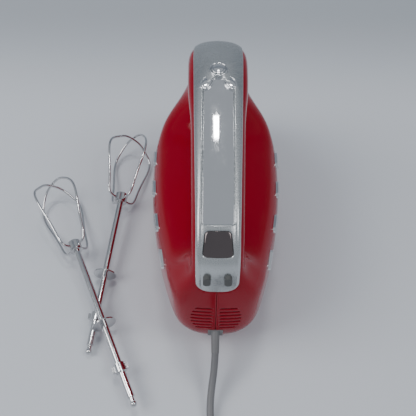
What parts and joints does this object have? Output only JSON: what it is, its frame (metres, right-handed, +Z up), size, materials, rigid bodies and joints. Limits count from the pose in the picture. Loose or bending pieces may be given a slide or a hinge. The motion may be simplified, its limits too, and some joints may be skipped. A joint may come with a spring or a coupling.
{
  "type": "hand mixer",
  "caption": "Upright hand mixer with a rounded two-part housing, loop handle under a silver cover, push buttons, coiled lead and loose wire beaters.",
  "frame": {"origin": "on the middle plane at the centre of the flat underside, on the surface the mixer stands on", "axes": "+Z up, +Y towards the front tip, +X to the right seen from behind"},
  "size_m": [0.2608, 0.3564, 0.1541],
  "materials": {
    "red_gloss": "gloss",
    "silver_satin": "satin",
    "bright_chrome": "mirror",
    "dark_mirror": "mirror",
    "grey_plastic": "matte",
    "dark_rubber": "matte",
    "plain_steel": "ground",
    "laminated_steel": "matte",
    "copper_wire": "enamelled",
    "brass_metal": "satin",
    "black_plastic": "matte",
    "white_nylon": "satin",
    "board_green": "satin",
    "polished_steel": "polished"
  },
  "bodies": {
    "housing": {"base_plate": "grey_plastic", "base_screws": "plain_steel", "brush_holders": "brass_metal", "button_rims": "bright_chrome", "carbon_brushes": "black_plastic", "channel_inlay": "bright_chrome", "cord_coil": "grey_plastic", "cord_end": "grey_plastic", "cord_outlet": "grey_plastic", "cord_tube": "grey_plastic", "display_window": "dark_mirror", "eject_spring": "plain_steel", "field_coils": "copper_wire", "front_bearing": "plain_steel", "gear_carrier": "black_plastic", "handle_cover": "silver_satin", "left_shell": "red_gloss", "left_side_trims": "bright_chrome", "motor_bridge": "black_plastic", "motor_cradle": "black_plastic", "plug_body": "grey_plastic", "plug_pins": "brass_metal", "rear_bearing": "plain_steel", "rear_pads": "dark_rubber", "right_shell": "red_gloss", "right_side_trims": "bright_chrome", "spindle_bushes": "brass_metal", "stator_core": "laminated_steel", "strain_relief": "grey_plastic", "switch_board": "board_green"},
    "armature": {"armature_shaft": "plain_steel", "armature_core": "laminated_steel", "rotor_windings": "copper_wire", "commutator": "copper_wire", "cooling_fan": "black_plastic"},
    "left_drive": {"left_spindle": "plain_steel", "left_worm_wheel": "white_nylon"},
    "right_drive": {"right_spindle": "plain_steel", "right_worm_wheel": "white_nylon"},
    "round_button_body": {"round_button": "bright_chrome"},
    "left_button_body": {"left_oval_button": "bright_chrome"},
    "right_button_body": {"right_oval_button": "bright_chrome"},
    "trigger_body": {"eject_trigger": "grey_plastic"},
    "fork_body": {"eject_fork": "plain_steel"},
    "left_beater": {"left_beater_collar": "polished_steel", "left_beater_disc": "polished_steel", "left_beater_hub": "polished_steel", "left_beater_inner_loop": "polished_steel", "left_beater_outer_loop": "polished_steel", "left_beater_shank": "polished_steel"},
    "right_beater": {"right_beater_collar": "polished_steel", "right_beater_disc": "polished_steel", "right_beater_hub": "polished_steel", "right_beater_inner_loop": "polished_steel", "right_beater_outer_loop": "polished_steel", "right_beater_shank": "polished_steel"}
  },
  "joints": [
    {"name": "armature_spin", "type": "hinge", "parent": "housing", "child": "armature", "pos_m": [0, 0, 0.05], "axis": [0, 1, 0], "continuous": true},
    {"name": "left_spindle_spin", "type": "hinge", "parent": "housing", "child": "left_drive", "pos_m": [-0.02, 0.072, 0], "axis": [0, 0, 1], "continuous": true},
    {"name": "right_spindle_spin", "type": "hinge", "parent": "housing", "child": "right_drive", "pos_m": [0.02, 0.072, 0], "axis": [0, 0, 1], "continuous": true},
    {"name": "round_button_press", "type": "slide", "parent": "housing", "child": "round_button_body", "axis": [0, 0.1394, -0.9902], "range_m": [0, 0.001], "stiffness_N_per_m": 800},
    {"name": "left_button_press", "type": "slide", "parent": "housing", "child": "left_button_body", "axis": [0, 0.1885, -0.9821], "range_m": [0, 0.0008], "stiffness_N_per_m": 800},
    {"name": "right_button_press", "type": "slide", "parent": "housing", "child": "right_button_body", "axis": [0, 0.1885, -0.9821], "range_m": [0, 0.0008], "stiffness_N_per_m": 800},
    {"name": "eject_fork_drop", "type": "slide", "parent": "housing", "child": "fork_body", "axis": [0, 0, -1], "range_m": [0, 0.003], "stiffness_N_per_m": 1500},
    {"name": "eject_trigger_pull", "type": "slide", "parent": "housing", "child": "trigger_body", "axis": [0, 1, 0], "range_m": [0, 0.004]},
    {"name": "left_beater_lift", "type": "slide", "parent": "housing", "child": "left_beater", "axis": [0, 0, 1], "range_m": [0, 0.18]},
    {"name": "right_beater_lift", "type": "slide", "parent": "housing", "child": "right_beater", "axis": [0, 0, 1], "range_m": [0, 0.18]}
  ],
  "couplings": [
    {"joint": "left_spindle_spin", "follows": "armature_spin", "ratio": -0.083333},
    {"joint": "right_spindle_spin", "follows": "armature_spin", "ratio": 0.083333},
    {"joint": "eject_trigger_pull", "follows": "eject_fork_drop", "ratio": 1.3333},
    {"joint": "right_beater_lift", "follows": "left_beater_lift", "ratio": 0.95}
  ]
}
